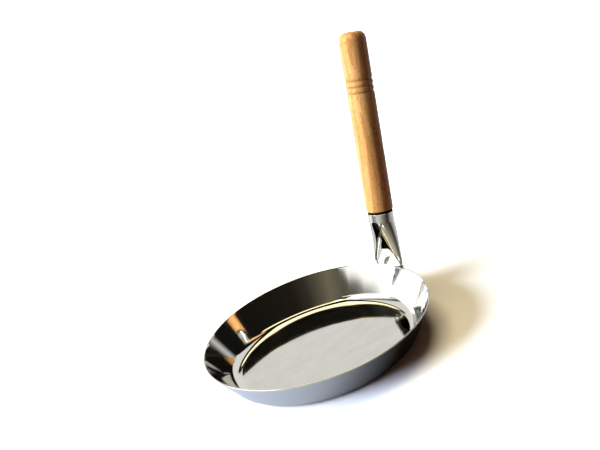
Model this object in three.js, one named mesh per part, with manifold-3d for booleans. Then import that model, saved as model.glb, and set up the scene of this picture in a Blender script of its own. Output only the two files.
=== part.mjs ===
// Oyakodon pan: a small shallow pan with an upright handle, for simmering the topping of one rice bowl.
// A pressed steel bowl, a rolled steel socket welded to the outside of its wall,
// a turned wooden grip whose tenon sits in the socket, and the nail that pins it there.
// Millimetres, +Z up. The origin is the middle of the bowl's underside, and the handle leans towards +X.
import * as THREE from "three";
import { mergeVertices } from "three/addons/utils/BufferGeometryUtils.js";
import Module from "manifold-3d";

const wasm = await Module();
wasm.setup();

const degrees = THREE.MathUtils.degToRad;
const blend = THREE.MathUtils.lerp;

// Clearances
const TOUCH_GAP = 0.3; // between pieces that rest on each other
const FIT_GAP = 0.3; // between the grip's tenon and the tube round it
const PILOT_GAP = 0.25; // round the nail's shank

// Bowl
const RIM_RADIUS = 82.5; // to the outermost edge of the rim
const BOWL_HEIGHT = 25;
const BOWL_SHEET = 1;
const WALL_FLARE = degrees(32); // the wall's lean from upright
const CORNER_RADIUS = 10.6; // outside, between base and wall

// Handle line: the axis that tube, grip and nail share
const HANDLE_LEAN = degrees(10.5); // outwards from upright
const HANDLE_INSET = 1.3; // how far inside the rim's edge the line crosses the rim's plane

// Socket, along the handle line from the rim's plane
const SOCKET_SHEET = 1.2;
const SOCKET_RISE = 41.8; // to the tube's mouth
const TUBE_RADIUS = 9.4; // outside
const COLLAR_LENGTH = 7; // the stretch of tube that is closed all round
const SEAM_GAP = 0.5; // between the sheet's two edges at the seam
const SEAM_TURN = degrees(7.5); // how far the seam lies round from the bowl's middle
const SLIT_WIDTH = 5.4; // between the edges where the slit begins
const SLIT_ROUND = 1.4; // height of the slit's rounded top
const LIP_WRAP = degrees(75); // how far the oval section wraps round from its back, at the rim

// Socket, how its section goes over from the flat tongue to the round tube
const WALL_RUN = 8.3; // the back follows the wall's line for about this far above the rim
const TUBE_RUN = 14.4; // and the tube's line for about this far below the slit's top
const WIDTH_EASE = 1.3; // power of the rise at which the width narrows
const DEPTH_EASE = 0.7; // power of the rise at which the depth grows
const WRAP_EASE = 2.6; // power at which the edges close in

// Tongue, on the wall below the rim
const TONGUE_DROP = 16;
const TONGUE_TOP_WIDTH = 26;
const TONGUE_END_WIDTH = 23;
const TONGUE_CORNER = 5;

// Grip
const GRIP_RADIUS = 9.9;
const GRIP_LENGTH = 132; // without the tenon
const END_ROUND_WIDTH = 4.8; // the rounding of the grip's end, across it
const END_ROUND_HEIGHT = 6.4; // and along it
const SHOULDER_ROUND = 0.6;
const GROOVE_COUNT = 3;
const FIRST_GROOVE = 33.9; // from the grip's end
const GROOVE_PITCH = 4.4;
const GROOVE_WIDTH = 2.2;
const GROOVE_DEPTH = 0.55;
const TENON_TAPER = 5.5; // length of the tenon's tapered end
const TENON_TIP_RADIUS = 5.4;

// Nail
const NAIL_DROP = 7.6; // below the tube's mouth
const NAIL_TURN = degrees(38); // round from the bowl's middle, on the same side as the seam
const NAIL_HEAD_RADIUS = 1.4;
const NAIL_HEAD_HEIGHT = 0.7;
const NAIL_SHANK_RADIUS = 0.7;
const NAIL_LENGTH = 8; // under the head
const NAIL_POINT = 1.6;

// Facets
const BOWL_SIDES = 96;
const GRIP_SIDES = 40;
const NAIL_SIDES = 16;
const SHEET_COLUMNS = 36;
const BEND_ROWS = 16;
const ROUND_ROWS = 4; // of the sheet, round a corner
const ARC_STEPS = 3; // pairs of facets along an arc of a turned profile

const polishedSteel = new THREE.MeshStandardMaterial({ color: 0xd6d8d8, roughness: 0.16, metalness: 1 });
const socketSteel = new THREE.MeshStandardMaterial({ color: 0xcfd0ce, roughness: 0.12, metalness: 1 });
const nailSteel = new THREE.MeshStandardMaterial({ color: 0xa8a497, roughness: 0.35, metalness: 1 });
const beech = new THREE.MeshStandardMaterial({ color: 0xd8a468, roughness: 0.55, metalness: 0 });

// Turns a profile of (radius, height) points round the Z axis. The profile starts and ends on the axis.
function turned(profile, sides) {
  const geometry = new THREE.LatheGeometry(profile, sides);
  geometry.rotateX(Math.PI / 2);
  return geometry;
}

// A geometry as a solid that can be cut.
function solidOf(geometry) {
  const bare = geometry.clone();
  bare.deleteAttribute("normal");
  bare.deleteAttribute("uv");
  const merged = mergeVertices(bare, 1e-3);
  const vertProperties = merged.attributes.position.array;
  const triVerts = new Uint32Array(merged.index.array);
  return new wasm.Manifold(new wasm.Mesh({ numProp: 3, vertProperties, triVerts }));
}

// A geometry with another one's space cut out of it.
function withHole(geometry, tool) {
  const mesh = solidOf(geometry).subtract(solidOf(tool)).getMesh();
  const cut = new THREE.BufferGeometry();
  cut.setAttribute("position", new THREE.BufferAttribute(mesh.vertProperties, mesh.numProp));
  cut.setIndex(new THREE.BufferAttribute(mesh.triVerts, 1));
  cut.computeVertexNormals();
  return cut;
}

function namedMesh(name, geometry, material) {
  const mesh = new THREE.Mesh(geometry, material);
  mesh.name = name;
  return mesh;
}

// The wall in the plane through the axis and the handle, as (radius, height) values.
// The rim is the round edge of the sheet, and the wall's two faces are tangent to it.
const rimMiddle = new THREE.Vector2(RIM_RADIUS - BOWL_SHEET / 2, BOWL_HEIGHT - BOWL_SHEET / 2);
const wallLine = new THREE.Vector2(Math.sin(WALL_FLARE), Math.cos(WALL_FLARE)); // up the wall
const wallOut = new THREE.Vector2(Math.cos(WALL_FLARE), -Math.sin(WALL_FLARE)); // square to it, outwards
const cornerMiddle = new THREE.Vector2(
  rimMiddle.x +
    ((CORNER_RADIUS - rimMiddle.y) * wallLine.x + BOWL_SHEET / 2 - CORNER_RADIUS) / wallLine.y,
  CORNER_RADIUS,
);

function panBody() {
  const section = new THREE.Path();
  section.moveTo(0, 0);
  section.lineTo(cornerMiddle.x, 0);
  section.absarc(cornerMiddle.x, cornerMiddle.y, CORNER_RADIUS, -Math.PI / 2, -WALL_FLARE, false);
  section.absarc(rimMiddle.x, rimMiddle.y, BOWL_SHEET / 2, -WALL_FLARE, Math.PI - WALL_FLARE, false);
  section.absarc(cornerMiddle.x, cornerMiddle.y, CORNER_RADIUS - BOWL_SHEET, -WALL_FLARE, -Math.PI / 2, true);
  section.lineTo(0, BOWL_SHEET);
  return namedMesh("pan_body", turned(section.getPoints(ARC_STEPS), BOWL_SIDES), polishedSteel);
}

// The handle line in the same plane.
const handleFoot = new THREE.Vector2(RIM_RADIUS - HANDLE_INSET, BOWL_HEIGHT);
const handleLine = new THREE.Vector2(Math.sin(HANDLE_LEAN), Math.cos(HANDLE_LEAN)); // up the handle
const handleOut = new THREE.Vector2(Math.cos(HANDLE_LEAN), -Math.sin(HANDLE_LEAN)); // square to it, outwards

// A group whose Z axis is the handle line and whose X axis points away from the bowl.
function handleGroup() {
  const group = new THREE.Group();
  group.position.set(handleFoot.x, 0, handleFoot.y);
  group.rotation.y = HANDLE_LEAN;
  group.updateMatrix();
  return group;
}

// A cylinder on the nail's axis, in the handle group's frame, between two distances from the handle line.
function nailBore(from, to) {
  const bore = new THREE.CylinderGeometry(
    NAIL_SHANK_RADIUS + PILOT_GAP,
    NAIL_SHANK_RADIUS + PILOT_GAP,
    to - from,
    NAIL_SIDES,
  );
  bore.rotateZ(-Math.PI / 2);
  bore.translate((from + to) / 2, 0, 0);
  bore.rotateZ(Math.PI + NAIL_TURN);
  bore.translate(0, 0, SOCKET_RISE - NAIL_DROP);
  return bore;
}

// One row of the socket's sheet: part of an oval whose back is on the spine.
// side and depth are the oval's half axes, wrap is how far it goes round each way from its back,
// and turn shifts both edges round. The row runs along the inner face and back along the outer one.
function sheetRow(spine, along, side, depth, wrap, turn) {
  const inward = new THREE.Vector2(-along.y, along.x);
  const row = [];
  for (const face of [1, -1]) {
    for (let column = 0; column <= SHEET_COLUMNS; column++) {
      const angle = face * blend(-wrap, wrap, column / SHEET_COLUMNS) + turn;
      const normal = new THREE.Vector2(side * Math.cos(angle), -depth * Math.sin(angle)).normalize();
      const offset = (face * SOCKET_SHEET) / 2;
      const deep = depth * (1 - Math.cos(angle)) + offset * normal.x;
      const wide = side * Math.sin(angle) + offset * normal.y;
      row.push(new THREE.Vector3(spine.x + inward.x * deep, wide, spine.y + inward.y * deep));
    }
  }
  return row;
}

// Skins rows of equal count into one closed sheet, with a strip across its first and last row.
function sheetThrough(rows) {
  const count = rows[0].length;
  const last = (rows.length - 1) * count;
  const index = [];
  const quad = (a, b, c, d) => index.push(a, b, c, a, c, d);
  for (let row = 0; row < last; row += count) {
    for (let i = 0; i < count; i++) {
      const next = (i + 1) % count;
      quad(row + i, row + count + i, row + count + next, row + next);
    }
  }
  for (let i = 0; i < SHEET_COLUMNS; i++) {
    const opposite = count - 1 - i;
    quad(i, i + 1, opposite - 1, opposite);
    quad(last + opposite, last + opposite - 1, last + i + 1, last + i);
  }
  const geometry = new THREE.BufferGeometry().setFromPoints(rows.flat());
  geometry.setIndex(index);
  geometry.computeVertexNormals();
  return geometry;
}

// The socket's spine is the middle of its sheet along the back: up the wall, over the bend, up the tube.
const tubeMiddle = TUBE_RADIUS - SOCKET_SHEET / 2;
const slitTop = SOCKET_RISE - COLLAR_LENGTH;
const wallSpine = rimMiddle
  .clone()
  .addScaledVector(wallOut, BOWL_SHEET / 2 + TOUCH_GAP + SOCKET_SHEET / 2);
const tubeSpine = (rise) =>
  handleFoot.clone().addScaledVector(handleLine, rise).addScaledVector(handleOut, tubeMiddle);

// The half axes of the oval that lies along the wall, for a tongue of a given half width.
function tongueOval(halfWidth, wallRadius) {
  const hollow = (halfWidth ** 2 * wallOut.x) / (2 * wallRadius);
  return { side: halfWidth / Math.sin(LIP_WRAP), depth: hollow / (1 - Math.cos(LIP_WRAP)) };
}

function tongueRow(drop, halfWidth) {
  const spine = wallSpine.clone().addScaledVector(wallLine, -drop);
  const { side, depth } = tongueOval(halfWidth, spine.x);
  return sheetRow(spine, wallLine, side, depth, LIP_WRAP, 0);
}

function tongueRows() {
  const rows = [];
  for (let step = 0; step <= ROUND_ROWS; step++) {
    const angle = (step / ROUND_ROWS) * (Math.PI / 2);
    const drop = TONGUE_DROP - TONGUE_CORNER * (1 - Math.cos(angle));
    rows.push(tongueRow(drop, TONGUE_END_WIDTH / 2 - TONGUE_CORNER * (1 - Math.sin(angle))));
  }
  rows.push(tongueRow(0, TONGUE_TOP_WIDTH / 2));
  return rows;
}

const slitWrap = Math.PI - Math.asin(SLIT_WIDTH / 2 / tubeMiddle);
const seamWrap = Math.PI - SEAM_GAP / 2 / tubeMiddle;

function bendRows() {
  const top = tubeSpine(slitTop);
  const spine = new THREE.CubicBezierCurve(
    wallSpine,
    wallSpine.clone().addScaledVector(wallLine, WALL_RUN),
    top.clone().addScaledVector(handleLine, -TUBE_RUN),
    top,
  );
  const start = tongueOval(TONGUE_TOP_WIDTH / 2, wallSpine.x);
  const rows = [];
  for (let step = 1; step <= BEND_ROWS; step++) {
    const rise = step / BEND_ROWS;
    const closing = 1 - (1 - rise) ** WRAP_EASE;
    const side = blend(start.side, tubeMiddle, rise ** WIDTH_EASE);
    const depth = blend(start.depth, tubeMiddle, rise ** DEPTH_EASE);
    const wrap = blend(LIP_WRAP, slitWrap, closing);
    rows.push(sheetRow(spine.getPoint(rise), spine.getTangent(rise), side, depth, wrap, SEAM_TURN * closing));
  }
  return rows;
}

function tubeRow(rise, wrap) {
  return sheetRow(tubeSpine(rise), handleLine, tubeMiddle, tubeMiddle, wrap, SEAM_TURN);
}

function collarRows() {
  const rows = [];
  for (let step = 1; step <= ROUND_ROWS; step++) {
    const angle = (step / ROUND_ROWS) * (Math.PI / 2);
    const wrap = blend(seamWrap, slitWrap, Math.cos(angle));
    rows.push(tubeRow(slitTop + SLIT_ROUND * Math.sin(angle), wrap));
  }
  rows.push(tubeRow(SOCKET_RISE, seamWrap));
  return rows;
}

function handleSocket() {
  const sheet = sheetThrough([...tongueRows(), ...bendRows(), ...collarRows()]);
  const bore = nailBore(TUBE_RADIUS - 2 * SOCKET_SHEET, TUBE_RADIUS + SOCKET_SHEET);
  bore.applyMatrix4(handleGroup().matrix);
  return namedMesh("handle_socket", withHole(sheet, bore), socketSteel);
}

function woodenGrip() {
  const shoulder = SOCKET_RISE + TOUCH_GAP;
  const end = shoulder + GRIP_LENGTH;
  const tenonRadius = TUBE_RADIUS - SOCKET_SHEET - FIT_GAP;
  const grooveRadius = (GROOVE_WIDTH ** 2 / 4 + GROOVE_DEPTH ** 2) / (2 * GROOVE_DEPTH);
  const grooveHalfAngle = Math.asin(GROOVE_WIDTH / 2 / grooveRadius);
  const profile = new THREE.Path();
  profile.moveTo(0, shoulder - COLLAR_LENGTH - TENON_TAPER);
  profile.lineTo(TENON_TIP_RADIUS, shoulder - COLLAR_LENGTH - TENON_TAPER);
  profile.lineTo(tenonRadius, shoulder - COLLAR_LENGTH);
  profile.lineTo(tenonRadius, shoulder);
  const shoulderMiddle = new THREE.Vector2(GRIP_RADIUS - SHOULDER_ROUND, shoulder + SHOULDER_ROUND);
  profile.absarc(shoulderMiddle.x, shoulderMiddle.y, SHOULDER_ROUND, -Math.PI / 2, 0, false);
  for (let groove = GROOVE_COUNT - 1; groove >= 0; groove--) {
    const height = end - FIRST_GROOVE - groove * GROOVE_PITCH;
    const middle = GRIP_RADIUS - GROOVE_DEPTH + grooveRadius;
    profile.absarc(middle, height, grooveRadius, Math.PI + grooveHalfAngle, Math.PI - grooveHalfAngle, true);
  }
  profile.absellipse(
    GRIP_RADIUS - END_ROUND_WIDTH,
    end - END_ROUND_HEIGHT,
    END_ROUND_WIDTH,
    END_ROUND_HEIGHT,
    0,
    Math.PI / 2,
    false,
  );
  profile.lineTo(0, end);
  const blank = turned(profile.getPoints(ARC_STEPS), GRIP_SIDES);
  const tip = TUBE_RADIUS + TOUCH_GAP - NAIL_LENGTH - PILOT_GAP;
  return namedMesh("wooden_grip", withHole(blank, nailBore(tip, GRIP_RADIUS)), beech);
}

function gripNail() {
  const profile = new THREE.Path();
  const domeRadius = (NAIL_HEAD_RADIUS ** 2 + NAIL_HEAD_HEIGHT ** 2) / (2 * NAIL_HEAD_HEIGHT);
  const domeAngle = Math.asin(NAIL_HEAD_RADIUS / domeRadius);
  profile.moveTo(0, -NAIL_LENGTH);
  profile.lineTo(NAIL_SHANK_RADIUS, NAIL_POINT - NAIL_LENGTH);
  profile.lineTo(NAIL_SHANK_RADIUS, 0);
  profile.absarc(0, NAIL_HEAD_HEIGHT - domeRadius, domeRadius, Math.PI / 2 - domeAngle, Math.PI / 2, false);
  const nail = namedMesh("grip_nail", turned(profile.getPoints(ARC_STEPS), NAIL_SIDES), nailSteel);
  nail.rotation.set(0, Math.PI / 2, Math.PI + NAIL_TURN, "ZYX");
  nail.position.set(TUBE_RADIUS + TOUCH_GAP, 0, 0);
  nail.position.applyAxisAngle(new THREE.Vector3(0, 0, 1), Math.PI + NAIL_TURN);
  nail.position.z = SOCKET_RISE - NAIL_DROP;
  return nail;
}

const pan = new THREE.Group();
const handle = handleGroup();
handle.add(woodenGrip(), gripNail());
pan.add(panBody(), handleSocket(), handle);

export default pan;
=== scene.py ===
"""Looks of an oyakodon pan: a polished pressed bowl, a rolled socket and a turned beech grip."""

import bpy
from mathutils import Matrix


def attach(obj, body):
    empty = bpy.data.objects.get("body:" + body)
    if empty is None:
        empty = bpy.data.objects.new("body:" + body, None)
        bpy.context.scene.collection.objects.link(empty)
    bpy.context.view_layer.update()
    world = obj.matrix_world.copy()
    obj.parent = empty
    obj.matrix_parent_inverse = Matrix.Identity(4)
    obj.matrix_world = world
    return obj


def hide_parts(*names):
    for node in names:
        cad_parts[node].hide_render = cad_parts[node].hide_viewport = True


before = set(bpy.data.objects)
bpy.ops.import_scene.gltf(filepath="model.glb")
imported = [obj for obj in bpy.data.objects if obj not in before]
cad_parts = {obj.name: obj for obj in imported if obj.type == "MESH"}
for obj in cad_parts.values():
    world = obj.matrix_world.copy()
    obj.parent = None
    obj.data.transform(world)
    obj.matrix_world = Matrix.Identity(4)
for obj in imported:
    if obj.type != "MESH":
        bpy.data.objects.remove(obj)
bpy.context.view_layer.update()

import math

import bmesh
import bpy
from bpy.props import FloatProperty, FloatVectorProperty, IntProperty, PointerProperty
from mathutils import Matrix, Vector

bl_info = {
    "name": "Oyakodon Pan",
    "version": (1, 0, 0),
    "blender": (4, 5, 0),
    "location": "View3D > Sidebar > Pan",
    "description": "Dresses the packed oyakodon pan and sets its studio",
    "category": "Object",
}

MERGE_DISTANCE = 1e-7
MARK_DEPTH, GRAIN_DEPTH = 0.0001, 0.0002
WHITE = (1.0, 1.0, 1.0)

# Where a Mix node has its colour sockets, and the vector operations whose result is a number.
MIX_FACTOR, MIX_FIRST, MIX_SECOND, MIX_RESULT = 0, 6, 7, 2
MEASURES = {"LENGTH", "DISTANCE", "DOT_PRODUCT"}

# What the cards round the pan glow with: window, lamp, room and table.
PAINTS = {
    "bright": (9.0, 9.2, 9.4),
    "day": (2.2, 2.25, 2.3),
    "glare": (1.75, 1.78, 1.8),
    "mist": (0.2, 0.25, 0.3),
    "cool": (0.2, 0.26, 0.3),
    "slate": (0.1, 0.15, 0.22),
    "tan": (0.25, 0.16, 0.08),
    "blue": (0.01, 0.05, 0.2),
    "ink": (0.01, 0.012, 0.02),
    "warm": (2.3, 2.0, 1.25),
    "pale": (0.75, 0.75, 0.75),
    "soft": (0.22, 0.21, 0.18),
    "olive": (0.21, 0.185, 0.13),
    "moss": (0.14, 0.13, 0.1),
    "umber": (0.12, 0.105, 0.075),
    "brown": (0.045, 0.038, 0.028),
    "night": (0.03, 0.035, 0.05),
    "dim": (0.03, 0.024, 0.018),
    "dusk": (0.018, 0.015, 0.011),
    "black": (0.008, 0.008, 0.007),
    "cloth": (1.35, 1.36, 1.38),
    "chalk": (0.75, 0.75, 0.73),
    "linen": (0.75, 0.74, 0.72),
    "plaster": (0.7, 0.7, 0.68),
    "stone": (0.42, 0.41, 0.37),
    "oak": (0.31, 0.28, 0.21),
    "walnut": (0.1, 0.09, 0.07),
}


def length(name, description, default):
    return FloatProperty(name=name, description=description, default=default, unit="LENGTH", precision=5)


def angle(name, description, degrees):
    return FloatProperty(
        name=name, description=description, default=math.radians(degrees), subtype="ANGLE", unit="ROTATION"
    )


def level(name, description, default):
    return FloatProperty(name=name, description=description, default=default, min=0)


def colour(name, description, default, most=1):
    return FloatVectorProperty(
        name=name, description=description, default=default, subtype="COLOR", size=3, min=0, max=most
    )


class PanBowlSettings(bpy.types.PropertyGroup):
    rim_radius: length("Rim Radius", "To the outermost edge of the rim", 0.0825)
    height: length("Height", "From the underside to the top of the rim", 0.025)
    sheet: length("Sheet", "Thickness of the bowl's sheet", 0.001)
    flare: angle("Flare", "The wall's lean from upright", 32)
    corner_radius: length("Corner Radius", "Outside, between base and wall", 0.0106)
    turns: IntProperty(name="Turns", description="Steps of the full turn", default=288, min=12)
    steel: colour("Steel", "What the polished steel reflects", (0.67, 0.655, 0.60))
    haze: colour("Haze", "What it reflects where the inner floor is clouded", (0.575, 0.56, 0.505))
    haze_radius: length("Haze Radius", "How far out the inner floor is clouded", 0.066)
    haze_fade: length("Haze Fade", "The stretch over which the haze fades out", 0.01)
    weld_drop: length("Weld Drop", "From the rim's top down to the spot welds", 0.0042)
    weld_side: length("Weld Side", "From the handle's plane to each spot weld", 0.0056)
    weld_radius: length("Weld Radius", "Radius of a spot weld's dimple", 0.0013)
    weld_floor: length("Weld Floor", "Radius of the dimple's flat middle", 0.00039)
    weld_depth: length("Weld Depth", "Depth of the dimple", 0.00012)


class PanSocketSettings(bpy.types.PropertyGroup):
    sheet: length("Sheet", "Thickness of the socket's sheet", 0.0012)
    edge: length("Edge", "Softening of the sheet's edges", 0.00022)
    gap: length("Gap", "Between the tongue and the wall", 0.0003)
    rise: length("Rise", "From the rim's plane to the tube's mouth, along the handle", 0.0418)
    tube_radius: length("Tube Radius", "Outside of the tube", 0.0094)
    collar: length("Collar", "The stretch of tube that is closed all round", 0.007)
    seam_gap: length("Seam Gap", "Between the sheet's edges at the seam", 0.0005)
    seam_turn: angle("Seam Turn", "How far the seam lies round from the bowl's middle", 7.5)
    slit_width: length("Slit Width", "Between the edges where the slit begins", 0.0054)
    slit_round: length("Slit Round", "Height of the slit's rounded top", 0.0014)
    lip_wrap: angle("Lip Wrap", "How far the section wraps round from its back, at the rim", 75)
    wall_run: length("Wall Run", "How far the back keeps to the wall's line above the rim", 0.0083)
    tube_run: length("Tube Run", "How far it keeps to the tube's line below the slit's top", 0.0144)
    tongue_drop: length("Tongue Drop", "How far the tongue reaches below the rim", 0.016)
    tongue_top: length("Tongue Top", "Width of the tongue at the rim", 0.026)
    tongue_end: length("Tongue End", "Width of the tongue at its lower end", 0.023)
    tongue_corner: length("Tongue Corner", "Radius of the tongue's lower corners", 0.005)
    steel: colour("Steel", "What the polished steel reflects", (0.66, 0.65, 0.60))
    # The colour of the painted shade inside the tube's upper part.
    tube_shade: colour("Soot", "The dark inside of the tube", (0.045, 0.04, 0.035))


class PanGripSettings(bpy.types.PropertyGroup):
    lean: angle("Lean", "The handle's lean outwards from upright", 10.5)
    inset: length("Inset", "How far inside the rim's edge the handle's line crosses its plane", 0.0013)
    radius: length("Radius", "Radius of the grip", 0.0099)
    length: length("Length", "Length of the grip without its tenon", 0.132)
    end_width: length("End Rounding Width", "The rounding of the grip's end, across it", 0.0048)
    end_height: length("End Rounding Height", "The rounding of the grip's end, along it", 0.0064)
    shoulder: length("Shoulder", "Rounding of the grip's lower edge", 0.0006)
    edge: length("Edge", "Softening of the other edges", 0.00018)
    first_groove: length("First Groove", "From the grip's end", 0.0339)
    groove_pitch: length("Groove Pitch", "From one groove to the next", 0.0044)
    groove_width: length("Groove Width", "Width of a groove", 0.0022)
    groove_depth: length("Groove Depth", "Depth of a groove", 0.00055)
    tenon_taper: length("Tenon Taper", "Length of the tenon's tapered end", 0.0055)
    tenon_tip: length("Tenon Tip", "Radius of the tenon's end", 0.0054)
    neck: length("Neck", "Height of the dark neck between the grip and the tube", 0.0015)
    neck_inset: length("Neck Inset", "How far the neck lies inside the grip", 0.0008)
    wood: colour("Wood", "Light wood between the growth rings", (0.96, 0.48, 0.15))
    late_wood: colour("Late Wood", "Wood of the growth rings", (0.55, 0.185, 0.035))
    fleck: colour("Fleck", "The short dark flecks along the grain", (0.36, 0.14, 0.04))
    # The charred neck and tenon of a burned-in fit; this colour also stands in as painted shade in the gap
    # under the grip and in the slit.
    burnt_and_shaded: colour("Burnt", "The neck and the tenon, darkened by the flame", (0.012, 0.009, 0.007))


class PanNailSettings(bpy.types.PropertyGroup):
    drop: length("Drop", "Below the tube's mouth", 0.0076)
    turn: angle("Turn", "Round from the bowl's middle, on the seam's side", 38)
    head_radius: length("Head Radius", "Radius of the head", 0.0014)
    head_height: length("Head Height", "Height of the head", 0.0007)
    shank_radius: length("Shank Radius", "Radius of the shank", 0.0007)
    length: length("Length", "Length under the head", 0.008)
    point: length("Point", "Length of the point", 0.0016)
    edge: length("Edge", "Softening of its edges", 0.0001)
    steel: colour("Steel", "What the nail's steel reflects", (0.42, 0.39, 0.33))


class PanWindowSettings(bpy.types.PropertyGroup):
    strength: level("Strength", "Strength of its light", 8.4)
    tint: colour("Tint", "Colour of its light", (0.71, 0.815, 1.0))
    azimuth: angle("Azimuth", "Where its light comes from, from +X towards +Y", 151)
    height: angle("Height", "How high it stands", 20)
    spread: angle("Spread", "How wide it looks from the pan", 44)


class PanLampSettings(bpy.types.PropertyGroup):
    strength: level("Strength", "Strength of its light", 1.56)
    tint: colour("Tint", "Colour of its light", (1.0, 0.84, 0.53))
    azimuth: angle("Azimuth", "Where its light comes from, from +X towards +Y", 64)
    height: angle("Height", "How high it stands", 74)
    spread: angle("Spread", "How wide it looks from the pan", 46)


class PanStageSettings(bpy.types.PropertyGroup):
    camera_place: FloatVectorProperty(
        name="Camera Place", description="Where the camera stands", default=(-0.32697, -0.46762, 0.30147),
        subtype="TRANSLATION", unit="LENGTH", size=3, precision=5,
    )
    camera_turn: FloatVectorProperty(
        name="Camera Turn", description="How the camera is turned",
        default=(math.radians(69.1214), math.radians(17.9859), math.radians(-42.9263)),
        subtype="EULER", unit="ROTATION", size=3,
    )
    lens: level("Lens", "Focal length in millimetres", 54)
    floor_radius: length("Floor Radius", "Radius of the floor", 6.0)
    floor: colour("Floor", "The floor as the camera sees it", (1.45, 1.45, 1.45), 2)
    floor_mirrored: colour("Floor Mirrored", "The floor as mirrors see it", (0.68, 0.705, 0.745))
    # Painted light and painted shade on the floor under the wall, as mirrors see it.
    floor_lit: colour("Floor Lit", "As mirrors see it under the wall, by the window", (0.98, 1.02, 1.08), 2)
    floor_lee: colour("Floor Lee", "As mirrors see it under the wall, opposite", (0.34, 0.345, 0.355))
    floor_bounce: colour("Floor Bounce", "As soft light sees it near the pan", (0.3, 0.115, 0.045))
    floor_dim: colour("Floor Dim", "As soft light sees it far away", (0.02, 0.008, 0.004))
    fill: colour("Fill", "The room's soft light", (0.022, 0.018, 0.014))
    window: PointerProperty(type=PanWindowSettings)
    lamp: PointerProperty(type=PanLampSettings)


class PanSettings(bpy.types.PropertyGroup):
    bowl: PointerProperty(type=PanBowlSettings)
    socket: PointerProperty(type=PanSocketSettings)
    grip: PointerProperty(type=PanGripSettings)
    nail: PointerProperty(type=PanNailSettings)
    stage: PointerProperty(type=PanStageSettings)


def settings():
    return bpy.context.scene.oyakodon_pan


def between(start, stop, share):
    return start + (stop - start) * share


# Outlines are wires in the XZ plane that are drawn with lines and arcs and then turned round the Z axis.


def line_to(bm, tip, x, z, steps=1):
    """Draws a straight line from the outline's tip and returns its new tip."""
    step = (Vector((x, 0, z)) - tip.co) / steps
    for _ in range(steps):
        tip = bmesh.ops.extrude_vert_indiv(bm, verts=[tip])["verts"][0]
        bmesh.ops.translate(bm, verts=[tip], vec=step)
    return tip


def arc_to(bm, tip, x, z, sweep, steps):
    """Draws an arc round (x, z) from the outline's tip, anticlockwise with X right and Z up."""
    turned = bmesh.ops.spin(bm, geom=[tip], cent=(x, 0, z), axis=(0, -1, 0), angle=sweep, steps=steps)
    return turned["geom_last"][0]


def turn_outline(bm, steps):
    """Turns the whole outline round the Z axis into a closed solid."""
    outline = bm.verts[:] + bm.edges[:]
    bmesh.ops.spin(
        bm, geom=outline, cent=(0, 0, 0), axis=(0, 0, 1), angle=math.tau, steps=steps, use_merge=True
    )
    bmesh.ops.remove_doubles(bm, verts=bm.verts[:], dist=MERGE_DISTANCE)
    bmesh.ops.recalc_face_normals(bm, faces=bm.faces[:])


def finish_piece(bm, name, material):
    """Makes a smooth-shaded object of the bmesh and frees it."""
    for face in bm.faces:
        face.smooth = True
    mesh = bpy.data.meshes.new(name)
    bm.to_mesh(mesh)
    bm.free()
    piece = bpy.data.objects.new(name, mesh)
    mesh.materials.append(material)
    bpy.context.scene.collection.objects.link(piece)
    return piece


def dress(piece, node):
    """Lets a piece stand for a CAD node."""
    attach(piece, "root")
    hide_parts(node)


def soften_edges(piece, width, segments=3, limit=35):
    """Rounds the edges that turn by more than the limit, in degrees."""
    bevel = piece.modifiers.new("Soft Edges", "BEVEL")
    bevel.width = width
    bevel.segments = segments
    bevel.limit_method = "ANGLE"
    bevel.angle_limit = math.radians(limit)


def handle_matrix():
    """The frame of the handle: Z up its line from the rim's plane, X away from the bowl."""
    pan = settings()
    foot = Vector((pan.bowl.rim_radius - pan.grip.inset, 0, pan.bowl.height))
    return Matrix.Translation(foot) @ Matrix.Rotation(pan.grip.lean, 4, "Y")


# Node trees are built with these helpers. An input that is a socket is linked, and any other is set.


def add(tree, kind, inputs=None, **options):
    node = tree.nodes.new(kind)
    for name, value in options.items():
        setattr(node, name, value)
    for name, value in (inputs or {}).items():
        if isinstance(value, bpy.types.NodeSocket):
            tree.links.new(value, node.inputs[name])
        else:
            node.inputs[name].default_value = value
    return node


def maths(tree, operation, *values, clamp=False):
    node = add(tree, "ShaderNodeMath", dict(enumerate(values)), operation=operation, use_clamp=clamp)
    return node.outputs[0]


def vectors(tree, operation, *values):
    node = add(tree, "ShaderNodeVectorMath", dict(enumerate(values)), operation=operation)
    return node.outputs["Value" if operation in MEASURES else "Vector"]


def split(tree, vector):
    return add(tree, "ShaderNodeSeparateXYZ", {0: vector}).outputs


def joined(tree, **parts):
    return add(tree, "ShaderNodeCombineXYZ", parts).outputs[0]


def stretched(tree, vector, scale):
    return vectors(tree, "MULTIPLY", vector, scale)


def mixed(tree, factor, first, second):
    inputs = {MIX_FACTOR: factor, MIX_FIRST: first, MIX_SECOND: second}
    return add(tree, "ShaderNodeMix", inputs, data_type="RGBA").outputs[MIX_RESULT]


def ramped(tree, value, low, high, to_low=0.0, to_high=1.0):
    inputs = {"Value": value, "From Min": low, "From Max": high, "To Min": to_low, "To Max": to_high}
    return add(tree, "ShaderNodeMapRange", inputs, interpolation_type="SMOOTHSTEP").outputs["Result"]


def noise(tree, vector, scale=1.0, detail=3.0, roughness=0.5):
    inputs = {"Vector": vector, "Scale": scale, "Detail": detail, "Roughness": roughness}
    return add(tree, "ShaderNodeTexNoise", inputs).outputs["Fac"]


def bumped(tree, shader, height, strength, distance, under=None):
    inputs = {"Height": height, "Strength": strength, "Distance": distance}
    if under:
        inputs["Normal"] = under
    tree.links.new(add(tree, "ShaderNodeBump", inputs).outputs["Normal"], shader.inputs["Normal"])


def opaque(value):
    return (*value, 1.0)


def object_place(tree):
    return add(tree, "ShaderNodeTexCoord").outputs["Object"]


def local_place(tree, matrix):
    """Object coordinates in the frame of a piece that is turned and moved by the matrix."""
    inputs = {"Vector": object_place(tree), "Location": matrix.translation, "Rotation": matrix.to_euler()}
    return add(tree, "ShaderNodeMapping", inputs, vector_type="TEXTURE").outputs["Vector"]


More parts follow.
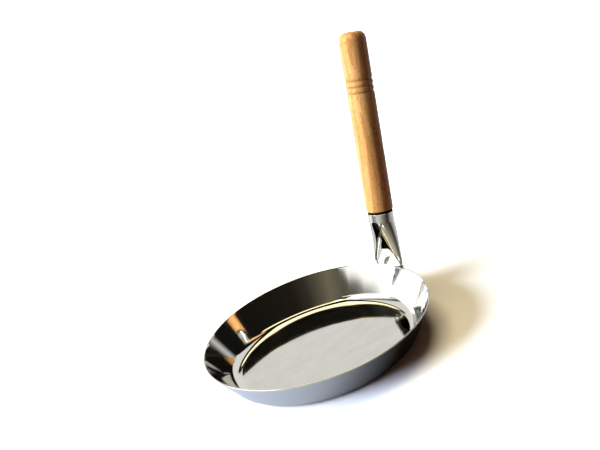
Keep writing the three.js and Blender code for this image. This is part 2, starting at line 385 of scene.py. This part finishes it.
def around_axis(tree, place):
    """Distance from the Z axis, and height."""
    parts = split(tree, place)
    return vectors(tree, "LENGTH", joined(tree, X=parts["X"], Y=parts["Y"])), parts["Z"]


def blank_material(name):
    """A new material, its tree and its shader."""
    material = bpy.data.materials.new(name)
    material.use_nodes = True
    tree = material.node_tree
    return material, tree, tree.nodes["Principled BSDF"]


def blank_steel(name):
    """A new metal, its tree and its shader."""
    material, tree, shader = blank_material(name)
    shader.inputs["Metallic"].default_value = 1.0
    return material, tree, shader


def polish_group():
    """What a polishing wheel leaves: faint lines along its run and a cloudy haze where it pressed less."""
    name = "Polish Marks"
    if name in bpy.data.node_groups:
        return bpy.data.node_groups[name]
    haze_share, line_share = 0.6, 0.5
    group = bpy.data.node_groups.new(name, "ShaderNodeTree")
    face = group.interface
    for socket in ("Run", "Place"):
        face.new_socket(socket, in_out="INPUT", socket_type="NodeSocketVector")
    for socket in ("Least", "Most"):
        face.new_socket(socket, in_out="INPUT", socket_type="NodeSocketFloat")
    for socket in ("Roughness", "Height"):
        face.new_socket(socket, in_out="OUTPUT", socket_type="NodeSocketFloat")
    inputs = group.nodes.new("NodeGroupInput").outputs
    lines = noise(group, inputs["Run"], detail=4.0, roughness=0.7)
    patches = ramped(group, noise(group, inputs["Place"], scale=60.0, detail=2.0), 0.35, 0.7)
    haze = ramped(group, noise(group, inputs["Place"], scale=24.0), 0.3, 0.75)
    streaks = maths(group, "MULTIPLY", lines, line_share)
    amount = maths(group, "MULTIPLY_ADD", haze, haze_share, streaks)
    spread = maths(group, "SUBTRACT", inputs["Most"], inputs["Least"])
    roughness = maths(group, "MULTIPLY_ADD", amount, spread, inputs["Least"])
    height = maths(group, "MULTIPLY", lines, patches)
    add(group, "NodeGroupOutput", {"Roughness": roughness, "Height": height})
    return group


def polish(tree, shader, run, place, least, most):
    """Gives the shader the roughness of the polish marks and returns their height."""
    inputs = {"Run": run, "Place": place, "Least": least, "Most": most}
    marks = add(tree, "ShaderNodeGroup", inputs, node_tree=polish_group()).outputs
    tree.links.new(marks["Roughness"], shader.inputs["Roughness"])
    return marks["Height"]


def weld_mask(tree, place):
    """Mask of the spot welds' dimples, which show through the wall by the handle."""
    pan = settings().bowl
    radius = pan.rim_radius - pan.sheet - pan.weld_drop * math.tan(pan.flare)
    masks = []
    for side in (-pan.weld_side, pan.weld_side):
        spot = (math.sqrt(radius**2 - side**2), side, pan.height - pan.weld_drop)
        away = vectors(tree, "DISTANCE", place, spot)
        masks.append(ramped(tree, away, pan.weld_radius, pan.weld_floor))
    return maths(tree, "ADD", *masks)


def bowl_material():
    pan = settings().bowl
    wheel_lines, haze_patches = (2600, 1, 2600), (42, 90, 60)
    material, tree, shader = blank_steel("Polished Bowl Steel")
    place = object_place(tree)
    radius, height = around_axis(tree, place)
    run = stretched(tree, joined(tree, X=radius, Z=height), wheel_lines)
    marks = polish(tree, shader, run, place, least=0.035, most=0.085)
    cloud = noise(tree, stretched(tree, place, haze_patches), detail=6.0, roughness=0.65)
    cloud = ramped(tree, cloud, 0.3, 0.7, to_low=0.35, to_high=0.85)
    within = ramped(tree, radius, pan.haze_radius, pan.haze_radius - pan.haze_fade)
    above = maths(tree, "GREATER_THAN", height, pan.sheet / 2)
    cloud = maths(tree, "MULTIPLY", cloud, maths(tree, "MULTIPLY", within, above))
    tree.links.new(mixed(tree, cloud, opaque(pan.steel), opaque(pan.haze)), shader.inputs["Base Color"])
    dimples = {"Height": weld_mask(tree, place), "Strength": 1.0, "Distance": pan.weld_depth}
    dimples = add(tree, "ShaderNodeBump", dimples, invert=True).outputs["Normal"]
    bumped(tree, shader, marks, strength=0.03, distance=MARK_DEPTH, under=dimples)
    return material


def tube_shade_mask(tree, place):
    """Mask of painted shade inside the tube, which ends in a slanting line."""
    rise = settings().socket.rise
    slant_x, slant_y = 1.2, -1.05
    thin, thick = 0.31 * rise, 0.38 * rise
    parts = split(tree, place)
    outward = joined(tree, X=parts["X"], Y=parts["Y"])
    normal = add(tree, "ShaderNodeNewGeometry").outputs["Normal"]
    inside = maths(tree, "LESS_THAN", vectors(tree, "DOT_PRODUCT", outward, normal), 0.0)
    height = maths(tree, "MULTIPLY_ADD", parts["X"], slant_x, parts["Z"])
    height = maths(tree, "MULTIPLY_ADD", parts["Y"], slant_y, height)
    return maths(tree, "MULTIPLY", ramped(tree, height, thin, thick), inside)


def socket_material():
    part = settings().socket
    rolling_lines = (900, 900, 60)
    material, tree, shader = blank_steel("Polished Socket Steel")
    place = local_place(tree, handle_matrix())
    marks = polish(tree, shader, stretched(tree, place, rolling_lines), place, least=0.04, most=0.1)
    # Painted shade inside the tube, mixed into the steel's colour.
    tint = mixed(tree, tube_shade_mask(tree, place), opaque(part.steel), opaque(part.tube_shade))
    tree.links.new(tint, shader.inputs["Base Color"])
    bumped(tree, shader, marks, strength=0.04, distance=MARK_DEPTH)
    return material


def nail_material():
    scratches = (1800, 1800, 1800)
    material, tree, shader = blank_steel("Nail Steel")
    place = object_place(tree)
    marks = polish(tree, shader, stretched(tree, place, scratches), place, least=0.25, most=0.45)
    shader.inputs["Base Color"].default_value = opaque(settings().nail.steel)
    bumped(tree, shader, marks, strength=0.2, distance=MARK_DEPTH)
    return material


def growth_rings(tree, place):
    """Share of late wood, in wavy rings round a pith that lies beside the grip."""
    from_pith, rings_in_metre = (0.021, 0.013, 0), 330.0
    waves, wave_depth = (90, 90, 14), 0.006
    wander = noise(tree, stretched(tree, place, waves), detail=2.0)
    away, _ = around_axis(tree, vectors(tree, "ADD", place, from_pith))
    wavy = maths(tree, "MULTIPLY_ADD", wander, wave_depth, away)
    ring = maths(tree, "FRACT", maths(tree, "MULTIPLY", wavy, rings_in_metre))
    return ramped(tree, ring, 0.3, 0.95, to_high=0.55)


def flecks(tree, place, scale, size, share):
    """Mask of short dashes along the grain, one in a share of the cells, of a size within its cell."""
    most_shrunk, core = 2.2, 0.4
    cells = {"Vector": stretched(tree, place, scale), "Scale": 1.0, "Randomness": 1.0}
    spots = add(tree, "ShaderNodeTexVoronoi", cells).outputs
    chance = split(tree, spots["Color"])
    shrunk = ramped(tree, chance["Y"], 0.0, 1.0, to_low=1.0, to_high=most_shrunk)
    reach = maths(tree, "MULTIPLY", spots["Distance"], shrunk)
    kept = maths(tree, "LESS_THAN", chance["X"], share)
    return maths(tree, "MULTIPLY", ramped(tree, reach, size, size * core), kept)


def groove_shade(tree, radius, height):
    """Share of shade in the turned grooves, without the shoulder and the rounded end."""
    pan = settings()
    grip, mouth = pan.grip, pan.socket.rise
    end = mouth + grip.length
    skin, clear_of_shoulder, fading, clear_of_end, deepest = 0.00012, 0.003, 0.012, 0.004, 0.6
    hollow = ramped(tree, radius, grip.radius - skin, grip.radius - grip.groove_depth)
    above = maths(tree, "GREATER_THAN", height, mouth + clear_of_shoulder)
    below = ramped(tree, height, end - fading, end - clear_of_end, to_low=deepest, to_high=0.0)
    return maths(tree, "MULTIPLY", maths(tree, "MULTIPLY", hollow, above), below)


def beech_material():
    pan = settings()
    grip = pan.grip
    fibres, bends, bend_depth = (1300, 1300, 60), (160, 160, 160), (0.0008, 0.0008, 0)
    small_share, large_share, pore_share = 0.5, 0.85, -0.6
    neck, dark_from, dark_full_from = pan.socket.rise + grip.neck, 0.0007, 0.0002
    material, tree, shader = blank_material("Turned Beech")
    place = local_place(tree, handle_matrix())
    radius, height = around_axis(tree, place)
    fibre = noise(tree, stretched(tree, place, fibres), detail=4.0, roughness=0.7)
    bend = noise(tree, stretched(tree, place, bends), detail=1.0)
    tilted = vectors(tree, "MULTIPLY_ADD", bend, bend_depth, place)
    small = flecks(tree, tilted, scale=(1350, 1350, 420), size=0.62, share=0.75)
    large = flecks(tree, tilted, scale=(950, 950, 300), size=0.5, share=0.3)
    # Dark band from the neck down: charred wood, and also painted shade of the gap between the grip and the
    # tube's mouth.
    burnt_and_shaded = ramped(tree, height, neck + dark_from, neck + dark_full_from)
    layers = (
        (growth_rings(tree, place), grip.late_wood),
        (ramped(tree, fibre, 0.38, 0.68, to_high=0.55), grip.late_wood),
        (maths(tree, "MULTIPLY", small, small_share), grip.fleck),
        (maths(tree, "MULTIPLY", large, large_share), grip.fleck),
        (groove_shade(tree, radius, height), grip.fleck),
        (burnt_and_shaded, grip.burnt_and_shaded),
    )
    body = opaque(grip.wood)
    for share, tint in layers:
        body = mixed(tree, share, body, opaque(tint))
    roughness = ramped(tree, fibre, 0.2, 0.8, to_low=0.36, to_high=0.55)
    gloss = ramped(tree, burnt_and_shaded, 0.0, 1.0, to_low=0.55, to_high=0.0)
    tree.links.new(body, shader.inputs["Base Color"])
    tree.links.new(roughness, shader.inputs["Roughness"])
    tree.links.new(gloss, shader.inputs["Specular IOR Level"])
    grain = maths(tree, "MULTIPLY_ADD", large, pore_share, fibre)
    bumped(tree, shader, grain, strength=0.2, distance=GRAIN_DEPTH)
    return material


class PAN_OT_press_bowl(bpy.types.Operator):
    """Presses the bowl: flat base, rounded corner, flared wall and a rim with a rounded edge"""

    bl_idname = "pan.press_bowl"
    bl_label = "Press Bowl"

    base_steps, corner_steps, wall_steps, rim_steps = 12, 24, 20, 12

    def execute(self, context):
        pan = settings().bowl
        half = pan.sheet / 2
        rim_x, rim_z = pan.rim_radius - half, pan.height - half
        out_x, out_z = math.cos(pan.flare), -math.sin(pan.flare)
        corner_z = pan.corner_radius
        corner_x = rim_x + ((corner_z - rim_z) * -out_z + half - corner_z) / out_x
        inner = corner_z - pan.sheet
        sweep = math.pi / 2 - pan.flare
        bm = bmesh.new()
        tip = bm.verts.new((0, 0, 0))
        tip = line_to(bm, tip, corner_x, 0, self.base_steps)
        tip = arc_to(bm, tip, corner_x, corner_z, sweep, self.corner_steps)
        tip = line_to(bm, tip, rim_x + half * out_x, rim_z + half * out_z, self.wall_steps)
        tip = arc_to(bm, tip, rim_x, rim_z, math.pi, self.rim_steps)
        tip = line_to(bm, tip, corner_x + inner * out_x, corner_z + inner * out_z, self.wall_steps)
        tip = arc_to(bm, tip, corner_x, corner_z, -sweep, self.corner_steps)
        line_to(bm, tip, 0, pan.sheet, self.base_steps)
        turn_outline(bm, pan.turns)
        dress(finish_piece(bm, "pressed_bowl", bowl_material()), "pan_body")
        return {"FINISHED"}


class PAN_OT_roll_socket(bpy.types.Operator):
    """Rolls the socket from a flat sheet: tongue on the wall, flattened bend, slit and closed collar"""

    bl_idname = "pan.roll_socket"
    bl_label = "Roll Socket"

    columns = 112
    tongue_rows, bend_rows, slit_rows, collar_rows = 36, 72, 12, 10
    width_ease, depth_ease, wrap_ease = 1.3, 0.7, 2.6

    def wall_oval(self, half_width, wall_radius):
        """Half axes of the oval whose back lies along the wall."""
        pan = settings()
        hollow = half_width**2 * math.cos(pan.bowl.flare) / (2 * wall_radius)
        wrap = pan.socket.lip_wrap
        return half_width / math.sin(wrap), hollow / (1 - math.cos(wrap))

    def tongue(self, wall_foot, wall_line):
        """Rows up the tongue, each as (spine, direction, half axes, wrap, turn)."""
        part = settings().socket
        for row in range(self.tongue_rows):
            drop = part.tongue_drop * (1 - row / self.tongue_rows)
            half = between(part.tongue_top, part.tongue_end, drop / part.tongue_drop) / 2
            from_end = part.tongue_drop - drop
            if from_end < part.tongue_corner:
                bite = part.tongue_corner - from_end
                half -= part.tongue_corner - math.sqrt(part.tongue_corner**2 - bite**2)
            spine = wall_foot - wall_line * drop
            yield spine, wall_line, self.wall_oval(half, spine.x), part.lip_wrap, 0.0

    def bend(self, wall_foot, wall_line, tube_foot, tube_line, slit_wrap):
        """Rows over the bend from the flat tongue to the round tube."""
        part = settings().socket
        middle = part.tube_radius - part.sheet / 2
        wall_side, wall_depth = self.wall_oval(part.tongue_top / 2, wall_foot.x)
        wall_end = wall_foot + wall_line * part.wall_run
        tube_start = tube_foot - tube_line * part.tube_run
        points = (wall_foot, wall_end, tube_start, tube_foot)
        legs = (wall_end - wall_foot, tube_start - wall_end, tube_foot - tube_start)
        for row in range(self.bend_rows + 1):
            rise = row / self.bend_rows
            rest = 1 - rise
            weights = (rest**3, 3 * rest**2 * rise, 3 * rest * rise**2, rise**3)
            spine = sum((point * weight for point, weight in zip(points, weights)), Vector())
            slopes = (rest**2, 2 * rest * rise, rise**2)
            along = sum((leg * slope for leg, slope in zip(legs, slopes)), Vector()).normalized()
            closing = 1 - rest**self.wrap_ease
            side = between(wall_side, middle, rise**self.width_ease)
            depth = between(wall_depth, middle, rise**self.depth_ease)
            wrap = between(part.lip_wrap, slit_wrap, closing)
            yield spine, along, (side, depth), wrap, part.seam_turn * closing

    def collar(self, tube_foot, tube_line, slit_wrap, seam_wrap):
        """Rows up the slit's rounded top and the closed collar."""
        part = settings().socket
        middle = part.tube_radius - part.sheet / 2
        for row in range(1, self.slit_rows + 1):
            turn = row / self.slit_rows * math.pi / 2
            wrap = between(seam_wrap, slit_wrap, math.cos(turn))
            spine = tube_foot + tube_line * part.slit_round * math.sin(turn)
            yield spine, tube_line, (middle, middle), wrap, part.seam_turn
        for row in range(1, self.collar_rows + 1):
            height = between(part.slit_round, part.collar, row / self.collar_rows)
            yield tube_foot + tube_line * height, tube_line, (middle, middle), seam_wrap, part.seam_turn

    def rows(self):
        """All rows of the sheet, from the tongue's lower end to the tube's mouth."""
        pan = settings()
        part, bowl = pan.socket, pan.bowl
        middle = part.tube_radius - part.sheet / 2
        wall_line = Vector((math.sin(bowl.flare), 0, math.cos(bowl.flare)))
        wall_out = Vector((math.cos(bowl.flare), 0, -math.sin(bowl.flare)))
        rim = Vector((bowl.rim_radius - bowl.sheet / 2, 0, bowl.height - bowl.sheet / 2))
        wall_foot = rim + wall_out * (bowl.sheet / 2 + part.gap + part.sheet / 2)
        handle = handle_matrix()
        tube_line = handle.to_3x3() @ Vector((0, 0, 1))
        tube_foot = handle @ Vector((middle, 0, part.rise - part.collar))
        slit_wrap = math.pi - math.asin(part.slit_width / 2 / middle)
        seam_wrap = math.pi - part.seam_gap / 2 / middle
        yield from self.tongue(wall_foot, wall_line)
        yield from self.bend(wall_foot, wall_line, tube_foot, tube_line, slit_wrap)
        yield from self.collar(tube_foot, tube_line, slit_wrap, seam_wrap)

    def execute(self, context):
        part = settings().socket
        rows = list(self.rows())
        last = len(rows) - 1
        bm = bmesh.new()
        bmesh.ops.create_grid(bm, x_segments=self.columns, y_segments=last, size=1)
        for vert in bm.verts:
            spine, along, (side, depth), wrap, turn = rows[round((vert.co.y + 1) / 2 * last)]
            swing = vert.co.x * wrap + turn
            inward = Vector((-along.z, 0, along.x))
            vert.co = spine + inward * depth * (1 - math.cos(swing))
            vert.co.y = side * math.sin(swing)
        piece = finish_piece(bm, "rolled_socket", socket_material())
        wall = piece.modifiers.new("Sheet", "SOLIDIFY")
        wall.thickness = part.sheet
        wall.offset = 0
        wall.use_even_offset = True
        soften_edges(piece, part.edge)
        dress(piece, "handle_socket")
        return {"FINISHED"}


class PAN_OT_turn_grip(bpy.types.Operator):
    """Turns the beech grip with its tenon, its grooves and its rounded end"""

    bl_idname = "pan.turn_grip"
    bl_label = "Turn Grip"

    grooves = 3
    shoulder_steps, land_steps, groove_steps, top_steps, round_steps, end_steps = 6, 4, 10, 8, 16, 4
    turns = 128

    def execute(self, context):
        pan = settings()
        grip, socket = pan.grip, pan.socket
        shoulder = socket.rise + socket.gap
        end = shoulder + grip.length
        tenon = socket.tube_radius - socket.sheet - socket.gap
        bm = bmesh.new()
        tip = bm.verts.new((0, 0, shoulder - socket.collar - grip.tenon_taper))
        tip = line_to(bm, tip, grip.tenon_tip, tip.co.z)
        tip = line_to(bm, tip, tenon, shoulder - socket.collar)
        tip = line_to(bm, tip, tenon, shoulder)
        tip = line_to(bm, tip, grip.radius - grip.neck_inset, shoulder)
        tip = line_to(bm, tip, tip.co.x, shoulder + grip.neck)
        tip = line_to(bm, tip, grip.radius - grip.shoulder, tip.co.z)
        tip = arc_to(bm, tip, tip.co.x, tip.co.z + grip.shoulder, math.pi / 2, self.shoulder_steps)
        groove_radius = (grip.groove_width**2 / 4 + grip.groove_depth**2) / (2 * grip.groove_depth)
        groove_sweep = 2 * math.asin(grip.groove_width / 2 / groove_radius)
        groove_x = grip.radius - grip.groove_depth + groove_radius
        for groove in reversed(range(self.grooves)):
            height = end - grip.first_groove - groove * grip.groove_pitch
            tip = line_to(bm, tip, grip.radius, height - grip.groove_width / 2, self.land_steps)
            tip = arc_to(bm, tip, groove_x, height, -groove_sweep, self.groove_steps)
        tip = line_to(bm, tip, grip.radius, end - grip.end_height, self.top_steps)
        drawn = set(bm.verts)
        tip = arc_to(bm, tip, grip.radius - grip.end_width, tip.co.z, math.pi / 2, self.round_steps)
        rounding = [vert for vert in bm.verts if vert not in drawn]
        from_top = Matrix.Translation((0, 0, grip.end_height - end))
        bmesh.ops.scale(bm, vec=(1, 1, grip.end_height / grip.end_width), space=from_top, verts=rounding)
        line_to(bm, tip, 0, end, self.end_steps)
        turn_outline(bm, self.turns)
        bmesh.ops.transform(bm, matrix=handle_matrix(), verts=bm.verts[:])
        piece = finish_piece(bm, "turned_grip", beech_material())
        soften_edges(piece, grip.edge, segments=2, limit=28)
        dress(piece, "wooden_grip")
        return {"FINISHED"}


class PAN_OT_drive_nail(bpy.types.Operator):
    """Drives the nail that pins the grip's tenon in the socket"""

    bl_idname = "pan.drive_nail"
    bl_label = "Drive Nail"

    dome_steps, turns = 8, 40

    def execute(self, context):
        pan = settings()
        nail = pan.nail
        dome = (nail.head_radius**2 + nail.head_height**2) / (2 * nail.head_height)
        bm = bmesh.new()
        tip = bm.verts.new((0, 0, -nail.length))
        tip = line_to(bm, tip, nail.shank_radius, nail.point - nail.length)
        tip = line_to(bm, tip, nail.shank_radius, 0)
        tip = line_to(bm, tip, nail.head_radius, 0)
        arc_to(bm, tip, 0, nail.head_height - dome, math.asin(nail.head_radius / dome), self.dome_steps)
        turn_outline(bm, self.turns)
        place = handle_matrix() @ Matrix.Rotation(math.pi + nail.turn, 4, "Z")
        out = Vector((pan.socket.tube_radius + pan.socket.gap, 0, pan.socket.rise - nail.drop))
        place = place @ Matrix.Translation(out) @ Matrix.Rotation(math.pi / 2, 4, "Y")
        bmesh.ops.transform(bm, matrix=place, verts=bm.verts[:])
        piece = finish_piece(bm, "driven_nail", nail_material())
        soften_edges(piece, nail.edge, segments=2)
        dress(piece, "grip_nail")
        return {"FINISHED"}


class PAN_OT_set_stage(bpy.types.Operator):
    """Sets the pale floor, the window, the dark flags that the steel mirrors, and the camera"""

    bl_idname = "pan.set_stage"
    bl_label = "Set Stage"

    # The floor's colours go over between these radii, and from painted light to painted shade along the
    # window's light between these places.
    bounce_fade, wall_fade, lee_fade = (0.1, 0.35), (0.095, 0.14), (-0.075, 0.03)
    floor_steps, floor_roughness = 96, 0.9

    # Cards: their paint's layer and grid, how far they hang, and how far one hangs in front of another.
    layer = "paint"
    cells, half = 24, 0.5
    board_distance, card_distance, near_distance = 20.0, 100.0, 15.0
    in_front, table_lift = 0.1, 0.001
    ceiling_turn, window_turn = 55, 202.45

    # The sill's points from right to left: side, height and the paint under it.
    sill_line = (
        (-0.24, 0.798, "umber"),
        (-0.42, 0.754, "umber"),
        (-0.88, 0.758, "soft"),
        (-1.13, 0.782, "cool"),
        (-2.2, 0.93, "glare"),
    )
    sill_half, edge_height, under_height = 0.011, 0.24, 0.26

    def rays(self, tree):
        """Masks of the camera's rays, of those in mirrors and glass, and of all that met nothing dull."""
        path = add(tree, "ShaderNodeLightPath").outputs
        direct = maths(tree, "SUBTRACT", 1.0, path["Diffuse Depth"], clamp=True)
        mirrored = maths(tree, "ADD", path["Is Glossy Ray"], path["Is Transmission Ray"], clamp=True)
        return path["Is Camera Ray"], maths(tree, "MULTIPLY", mirrored, direct), direct

    def floor_material(self):
        """White to the camera, painted lit or in a painted lee under the wall to the steel, and dim to dull
        surfaces.
        """
        stage = settings().stage
        bounce, dim = opaque(stage.floor_bounce), opaque(stage.floor_dim)
        lit, lee = opaque(stage.floor_lit), opaque(stage.floor_lee)
        material, tree, shader = blank_material("Pale Floor")
        camera, mirrored, _ = self.rays(tree)
        place = object_place(tree)
        away, _ = around_axis(tree, place)
        tint = mixed(tree, ramped(tree, away, *self.bounce_fade), bounce, dim)
        window = stage.window.azimuth
        along = vectors(tree, "DOT_PRODUCT", place, (-math.cos(window), -math.sin(window), 0))
        # Painted light by the window and painted shade opposite, under the wall, which only the steel sees.
        shown = mixed(tree, ramped(tree, along, *self.lee_fade), lit, lee)
        shown = mixed(tree, ramped(tree, away, *self.wall_fade), shown, opaque(stage.floor_mirrored))
        tint = mixed(tree, mirrored, tint, shown)
        tree.links.new(mixed(tree, camera, tint, opaque(stage.floor)), shader.inputs["Base Color"])
        shader.inputs["Roughness"].default_value = self.floor_roughness
        shader.inputs["Specular IOR Level"].default_value = 0.0
        return material

    def lay_floor(self):
        radius = settings().stage.floor_radius
        bm = bmesh.new()
        bmesh.ops.create_circle(bm, cap_ends=True, segments=self.floor_steps, radius=radius)
        finish_piece(bm, "floor", self.floor_material())

    def card_material(self):
        """Glows in the colour that the card is painted with."""
        material = bpy.data.materials.new("Studio Card")
        material.use_nodes = True
        material.cycles.emission_sampling = "NONE"
        tree = material.node_tree
        tree.nodes.remove(tree.nodes["Principled BSDF"])
        paint = add(tree, "ShaderNodeAttribute", attribute_name=self.layer).outputs["Color"]
        _, _, direct = self.rays(tree)
        glow = add(tree, "ShaderNodeEmission", {"Color": paint, "Strength": direct})
        tree.links.new(glow.outputs[0], tree.nodes["Material Output"].inputs["Surface"])
        return material

    def bent(self, azimuths, heights, slope=0, distance=card_distance):
        """Places of a card bent round the pan between two azimuths and two heights, in degrees."""

        def place(across, up):
            height = math.radians(between(*heights, up) + slope * across)
            azimuth = math.radians(between(*azimuths, across))
            out = Vector((math.cos(azimuth), math.sin(azimuth), 0)) * math.cos(height)
            return (out + Vector((0, 0, math.sin(height)))) * distance

        return place

    def flat(self, azimuth, tilt, ends, sides, forward=0, skew=0):
        """Places of a flat board that faces the pan, as shares of its distance."""
        turn = Matrix.Rotation(math.radians(azimuth), 3, "Z") @ Matrix.Rotation(math.radians(tilt), 3, "Y")

        def place(across, up):
            end = between(*ends, across) - skew * (1 - up)
            return turn @ Vector((end, between(*sides, up), 1)) * (self.board_distance - forward)

        return place

    def overhead(self, ends, sides, forward=0):
        """Places of a flat board over the pan."""
        return self.flat(self.ceiling_turn, 0, ends, sides, forward)

    def upright(self, ends, sides, forward=0, skew=0):
        """Places of a flat board on the window's side, with its ends counted downwards."""
        return self.flat(self.window_turn, 90, ends, sides, forward, skew)

    def lying(self, azimuths, radii):
        """Places of a sheet that lies round the pan between two azimuths, in degrees, and two radii."""

        def place(across, up):
            radius = between(*radii, up)
            azimuth = math.radians(between(*azimuths, across))
            return Vector((math.cos(azimuth) * radius, math.sin(azimuth) * radius, self.table_lift))

        return place

    def hang_card(self, material, name, place, start, stop=None, high_start=None, high_stop=None):
        """Hangs a card that only mirrors see, painted from corner to corner."""
        stop = stop or start
        paints = (start, stop, high_start or start, high_stop or stop)
        low_start, low_stop, top_start, top_stop = (Vector(PAINTS[paint]) for paint in paints)
        bm = bmesh.new()
        bmesh.ops.create_grid(bm, x_segments=self.cells, y_segments=self.cells, size=self.half)
        layer = bm.verts.layers.float_color.new(self.layer)
        for vert in bm.verts:
            across, up = vert.co.x + self.half, vert.co.y + self.half
            low, top = low_start.lerp(low_stop, across), top_start.lerp(top_stop, across)
            vert[layer] = opaque(low.lerp(top, up))
            vert.co = place(across, up)
        card = finish_piece(bm, name, material)
        card.visible_camera = False
        card.visible_diffuse = False
        card.visible_shadow = False

    def hang_cards(self, material):
        """Hangs the ceiling, the window, the room and the table that the steel mirrors."""
        near = self.near_distance
        room_low, room_high = (15, 79), (22, 79)
        gap, table = (5, 16), (0.17, 5)
        cards = (
            ("ceiling", self.overhead((-0.12, 1.66), (-0.55, 0.45)), "black"),
            ("ceiling_lamp", self.overhead((0.25, 1.45), (-0.31, 0.31), self.in_front), "warm"),
            ("ceiling_bar", self.overhead((-0.28, -0.12), (-1.0, 1.0), self.in_front), "warm"),
            ("window", self.upright((-2.4, -0.7), (-3.9, -0.4)), "bright"),
            ("window_side", self.upright((-2.4, -0.79), (-0.4, -0.24)), "glare"),
            ("window_low", self.bent((80, 178), (-1, 17)), "day"),
            ("window_bar", self.bent((110, 137), (12.9, 14.0), 7.4, near), "ink", "blue"),
            ("window_head", self.bent((170, 190), (40, 60), 0, near), "umber"),
            ("window_post", self.bent((108, 118), (17, 66)), "slate", "mist", "tan"),
            ("room_grey", self.bent((-171, -156), room_high), "moss", "olive"),
            ("room_olive", self.bent((-156, -143), room_high), "olive", "umber"),
            ("room_umber", self.bent((-143, -128), room_high), "umber", "brown"),
            ("room_brown", self.bent((-128, -110), room_low), "brown", "dusk"),
            ("room_middle", self.bent((-110, -41), room_low), "dusk", "black"),
            ("room_right", self.bent((-41, -8), (9, 79)), "black"),
            ("gap_left", self.bent((-8, -2), gap), "black", "pale"),
            ("gap_right", self.bent((-2, 5), gap), "pale", "black"),
            ("low_dark", self.bent((5, 24), (-1, 8.5)), "black"),
            ("rim_dark", self.bent((26, 46), (-4, 14)), "night"),
            ("table_bright", self.lying((80, 122), (0.12, 5)), "cloth"),
            ("table_fold", self.lying((122, 175), (0.2, 5)), "chalk", "stone"),
            ("table_left", self.lying((-150, -112), table), "plaster", "oak"),
            ("table_middle", self.lying((-112, -78), table), "oak", "walnut"),
            ("table_dark", self.lying((-78, -58), table), "walnut", "dim"),
            ("table_right", self.lying((-58, -12), table), "dim", "linen"),
        )
        for card in cards:
            self.hang_card(material, *card)

    def hang_sill(self, material):
        """Hangs the window's lower edge, the sill and the wall under it, from point to point."""
        for (right, high, paint), (left, next_high, next_paint) in zip(self.sill_line, self.sill_line[1:]):
            bands = (
                ("window_edge", -self.edge_height, -self.sill_half, ("glare",)),
                ("sill", -self.sill_half, self.sill_half, ("glare", next_paint, "glare", paint)),
                ("under_sill", self.sill_half, self.under_height, (next_paint, "umber", paint, "umber")),
            )
            for name, top, bottom, paints in bands:
                ends, skew = (top - high, bottom - high), next_high - high
                place = self.upright(ends, (left, right), self.in_front, skew)
                self.hang_card(material, name, place, *paints)

    def light_room(self):
        """Shows a white room to the camera and the steel, and gives the rest its soft light."""
        stage = settings().stage
        world = bpy.data.worlds.new("White Room")
        bpy.context.scene.world = world
        world.use_nodes = True
        tree = world.node_tree
        camera, mirrored, _ = self.rays(tree)
        seen = maths(tree, "ADD", camera, mirrored, clamp=True)
        tint = mixed(tree, seen, opaque(stage.fill), opaque(WHITE))
        tree.links.new(tint, tree.nodes["Background"].inputs["Color"])

    def light_pan(self):
        """Hangs the two lights, which mirrors don't see."""
        stage = settings().stage
        for name, light in (("window_light", stage.window), ("lamp_light", stage.lamp)):
            sun = bpy.data.lights.new(name, "SUN")
            sun.energy = light.strength
            sun.color = light.tint
            sun.angle = light.spread
            lamp = bpy.data.objects.new(name, sun)
            lamp.rotation_euler = (0, math.pi / 2 - light.height, light.azimuth)
            lamp.visible_glossy = False
            bpy.context.scene.collection.objects.link(lamp)

    def place_camera(self):
        stage = settings().stage
        lens = bpy.data.cameras.new("Camera")
        lens.lens = stage.lens
        camera = bpy.data.objects.new("Camera", lens)
        camera.location = stage.camera_place
        camera.rotation_euler = stage.camera_turn
        bpy.context.scene.collection.objects.link(camera)
        bpy.context.scene.camera = camera

    def execute(self, context):
        self.lay_floor()
        material = self.card_material()
        self.hang_cards(material)
        self.hang_sill(material)
        self.light_room()
        self.light_pan()
        self.place_camera()
        bpy.context.scene.view_settings.view_transform = "Standard"
        return {"FINISHED"}


class PAN_PT_sidebar(bpy.types.Panel):
    """Lists the steps that dress the pan"""

    bl_idname = "PAN_PT_sidebar"
    bl_label = "Oyakodon Pan"
    bl_space_type = "VIEW_3D"
    bl_region_type = "UI"
    bl_category = "Pan"

    def draw(self, context):
        for step in STEPS:
            self.layout.operator(step.bl_idname)


STEPS = (PAN_OT_press_bowl, PAN_OT_roll_socket, PAN_OT_turn_grip, PAN_OT_drive_nail, PAN_OT_set_stage)
CLASSES = (
    PanBowlSettings,
    PanSocketSettings,
    PanGripSettings,
    PanNailSettings,
    PanWindowSettings,
    PanLampSettings,
    PanStageSettings,
    PanSettings,
    *STEPS,
    PAN_PT_sidebar,
)


def register():
    for kind in CLASSES:
        bpy.utils.register_class(kind)
    bpy.types.Scene.oyakodon_pan = PointerProperty(type=PanSettings)


def unregister():
    del bpy.types.Scene.oyakodon_pan
    for kind in reversed(CLASSES):
        bpy.utils.unregister_class(kind)


def main():
    register()
    bpy.ops.pan.press_bowl()
    bpy.ops.pan.roll_socket()
    bpy.ops.pan.turn_grip()
    bpy.ops.pan.drive_nail()
    bpy.ops.pan.set_stage()


if __name__ == "__main__":
    main()
